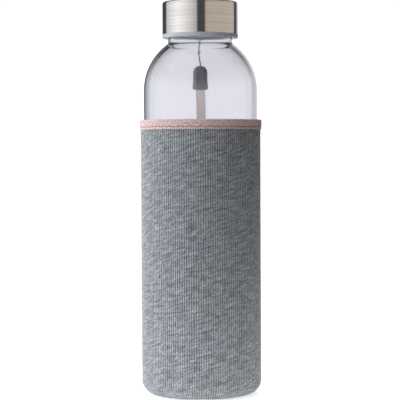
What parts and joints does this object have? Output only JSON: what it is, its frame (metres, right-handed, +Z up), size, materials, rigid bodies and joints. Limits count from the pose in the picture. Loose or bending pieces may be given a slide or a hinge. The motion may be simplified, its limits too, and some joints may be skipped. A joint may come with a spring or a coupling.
{
  "type": "water bottle",
  "caption": "Clear glass drinking bottle with a screw cap, a padded knit sleeve that the bottle pulls out of, and a wrist strap looped round its neck.",
  "frame": {"origin": "on the ground under the middle of the sleeve", "axes": "+Z up along the bottle, -Y towards the front, the strap hangs at +Y"},
  "size_m": [0.0686, 0.0937, 0.2201],
  "materials": {
    "soda_lime_glass": "clear, smooth, fire-polished",
    "brushed_stainless": "brushed round the cap",
    "polypropylene": "moulded, translucent, satin",
    "silicone": "matt",
    "melange_knit": "ribbed grey melange jersey",
    "neoprene_foam": "closed-cell foam",
    "polyester_lining": "fine plain jersey",
    "grey_thread": "spun polyester thread",
    "elastic_tape": "ribbed folded elastic",
    "rose_thread": "spun polyester thread",
    "waxed_cord": "thin braided cord",
    "moulded_pvc": "satin moulded",
    "woven_webbing": "fine twill weave"
  },
  "bodies": {
    "sleeve": {"sleeve_face": "melange_knit", "sleeve_foam": "neoprene_foam", "sleeve_lining": "polyester_lining", "base_panel": "melange_knit", "base_stitches": "grey_thread", "back_seam_stitches": "grey_thread", "top_binding": "elastic_tape", "binding_stitches": "rose_thread"},
    "bottle": {"glass_bottle": "soda_lime_glass"},
    "seal": {"cap_seal": "silicone"},
    "cap": {"cap_shell": "brushed_stainless", "cap_insert": "polypropylene"},
    "strap_ring": {"neck_cord": "waxed_cord"},
    "strap": {"drop_cord": "waxed_cord", "strap_connector": "moulded_pvc", "strap_webbing": "woven_webbing"}
  },
  "joints": [
    {"name": "bottle_pull_out", "type": "slide", "parent": "sleeve", "child": "bottle", "axis": [0, 0, 1], "range_m": [0, 0.165]},
    {"name": "cap_rise", "type": "slide", "parent": "bottle", "child": "seal", "axis": [0, 0, 1], "range_m": [0, 0.01905]},
    {"name": "cap_turn", "type": "hinge", "parent": "seal", "child": "cap", "pos_m": [0, 0, 0.21], "axis": [0, 0, 1], "range_deg": [0, 1620]},
    {"name": "strap_swivel", "type": "hinge", "parent": "bottle", "child": "strap_ring", "pos_m": [0, 0, 0.20047], "axis": [0, 0, 1], "continuous": true},
    {"name": "strap_swing", "type": "hinge", "parent": "strap_ring", "child": "strap", "pos_m": [-0.0008, 0.02285, 0.19458], "axis": [1, 0, 0], "range_deg": [0, 110]}
  ],
  "couplings": [
    {"joint": "cap_rise", "follows": "cap_turn", "m_per_rad": 0.00067322}
  ]
}
